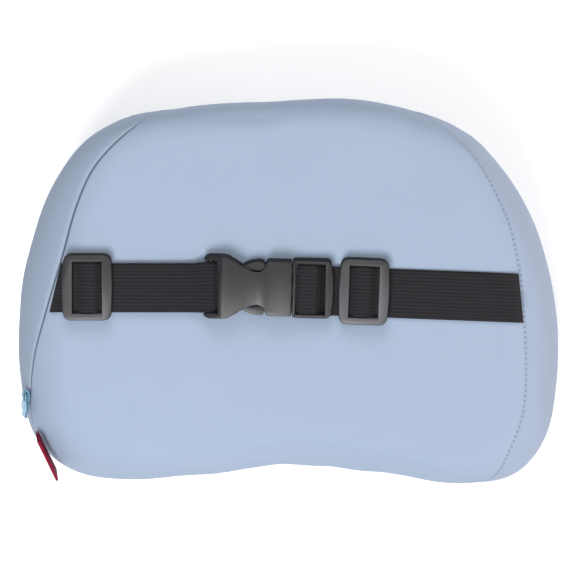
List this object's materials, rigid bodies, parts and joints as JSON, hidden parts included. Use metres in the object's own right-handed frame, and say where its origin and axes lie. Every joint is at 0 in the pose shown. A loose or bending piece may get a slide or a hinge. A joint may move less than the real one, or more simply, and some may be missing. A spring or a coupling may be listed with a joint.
{
  "type": "travel neck pillow",
  "caption": "Bean-shaped foam neck pillow in a pale blue cover, with a black elastic strap and a side-release buckle across its back.",
  "frame": {"origin": "middle of the bounding box's bottom: the surface on which the pillow lies on its front, with the two lobes touching it", "axes": "+Z out of the back, which carries the strap; +X along the strap towards the plug's side, the picture's right; +Y towards the pillow's upper edge, the picture's top"},
  "size_m": [0.2847, 0.2023, 0.1047],
  "materials": {
    "foam": "soft open-cell foam",
    "cover_fabric": "smooth fine knit",
    "band_fabric": "smooth fine knit",
    "zip_tape": "woven tape",
    "slider_metal": "satin paint",
    "pull_plastic": "satin",
    "strap_elastic": "ribbed elastic webbing",
    "buckle_plastic": "satin moulded",
    "tag_fabric": "woven ribbon"
  },
  "bodies": {
    "pillow": {"foam_core": "foam", "back_panel": "cover_fabric", "side_band": "band_fabric", "front_panel": "cover_fabric", "zip_tape_back": "zip_tape", "zip_tape_side": "zip_tape", "zip_slider": "slider_metal", "left_strap": "strap_elastic", "right_strap": "strap_elastic", "left_slide": "buckle_plastic", "right_slide": "buckle_plastic", "buckle_socket": "buckle_plastic", "buckle_plug": "buckle_plastic", "label_tag": "tag_fabric"},
    "zip_pull": {"zip_pull": "pull_plastic"}
  },
  "joints": [
    {"name": "pull_hinge", "type": "hinge", "parent": "pillow", "child": "zip_pull", "pos_m": [-0.13565, -0.05314, 0.07944], "axis": [-0.4735, 0.3485, -0.8089], "range_deg": [0, 165]}
  ]
}
